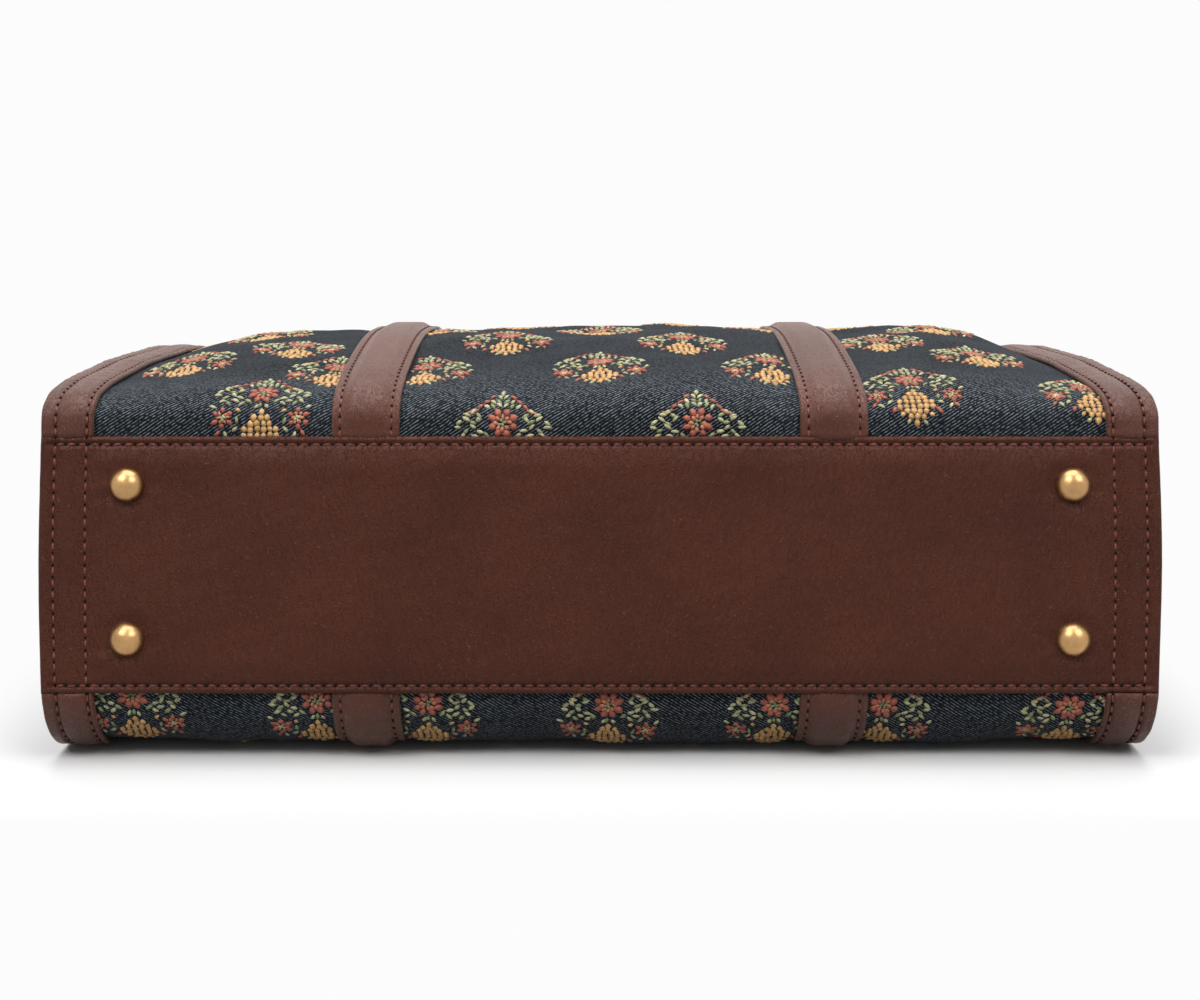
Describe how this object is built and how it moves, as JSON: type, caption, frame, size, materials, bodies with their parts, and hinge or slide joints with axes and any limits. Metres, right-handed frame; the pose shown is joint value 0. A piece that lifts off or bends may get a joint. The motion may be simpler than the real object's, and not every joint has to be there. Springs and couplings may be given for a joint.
{
  "type": "laptop tote bag",
  "caption": "Zip-top tote bag of printed cloth and leather, lying on its back, with dome feet and shoulder straps.",
  "frame": {"origin": "bottom centre of the bag's box as it lies on its back, handles included", "axes": "+X along the bag's length, +Y from the leather bottom to the zipped top, +Z from the back face up to the front face"},
  "size_m": [0.4, 0.4998, 0.155],
  "materials": {
    "leather": "fine grain, satin, waxed",
    "edge_leather": "painted edges, satin",
    "printed_cloth": "twill, matt, with woven sprigs",
    "lining_cloth": "plain weave, matt",
    "zip_tape": "ribbed tape, matt",
    "brass": "satin",
    "board": "pressed board, matt",
    "foam": "padded, quilted, matt"
  },
  "bodies": {
    "bag": {"back_band_left": "leather", "back_band_right": "leather", "back_panel": "printed_cloth", "base_board": "board", "bottom_panel": "leather", "foot_left_high": "brass", "foot_left_low": "brass", "foot_right_high": "brass", "foot_right_low": "brass", "foot_washers": "brass", "front_band_left": "leather", "front_band_right": "leather", "front_panel": "printed_cloth", "gusset_left": "edge_leather", "gusset_right": "edge_leather", "handle_back": "leather", "handle_front": "leather", "laptop_divider": "foam", "lining": "lining_cloth", "rim_binding_back": "leather", "rim_binding_front": "leather", "strap_back_left": "leather", "strap_back_right": "leather", "strap_front_left": "leather", "strap_front_right": "leather", "zip_end_tab_left": "leather", "zip_end_tab_right": "leather", "zip_stops": "brass", "zip_tape_back": "zip_tape", "zip_tape_front": "zip_tape", "zip_teeth_back": "brass", "zip_teeth_front": "brass", "zip_wing_back": "leather", "zip_wing_front": "leather"},
    "slider": {"zip_slider": "brass"},
    "pull": {"zip_pull": "brass"}
  },
  "joints": [
    {"name": "zip_slide", "type": "slide", "parent": "bag", "child": "slider", "axis": [-1, 0, 0], "range_m": [0, 0.3192]},
    {"name": "pull_swing", "type": "hinge", "parent": "slider", "child": "pull", "pos_m": [0.1595, 0.03476, 0.05046], "axis": [0, 0, -1], "range_deg": [0, 180]}
  ]
}
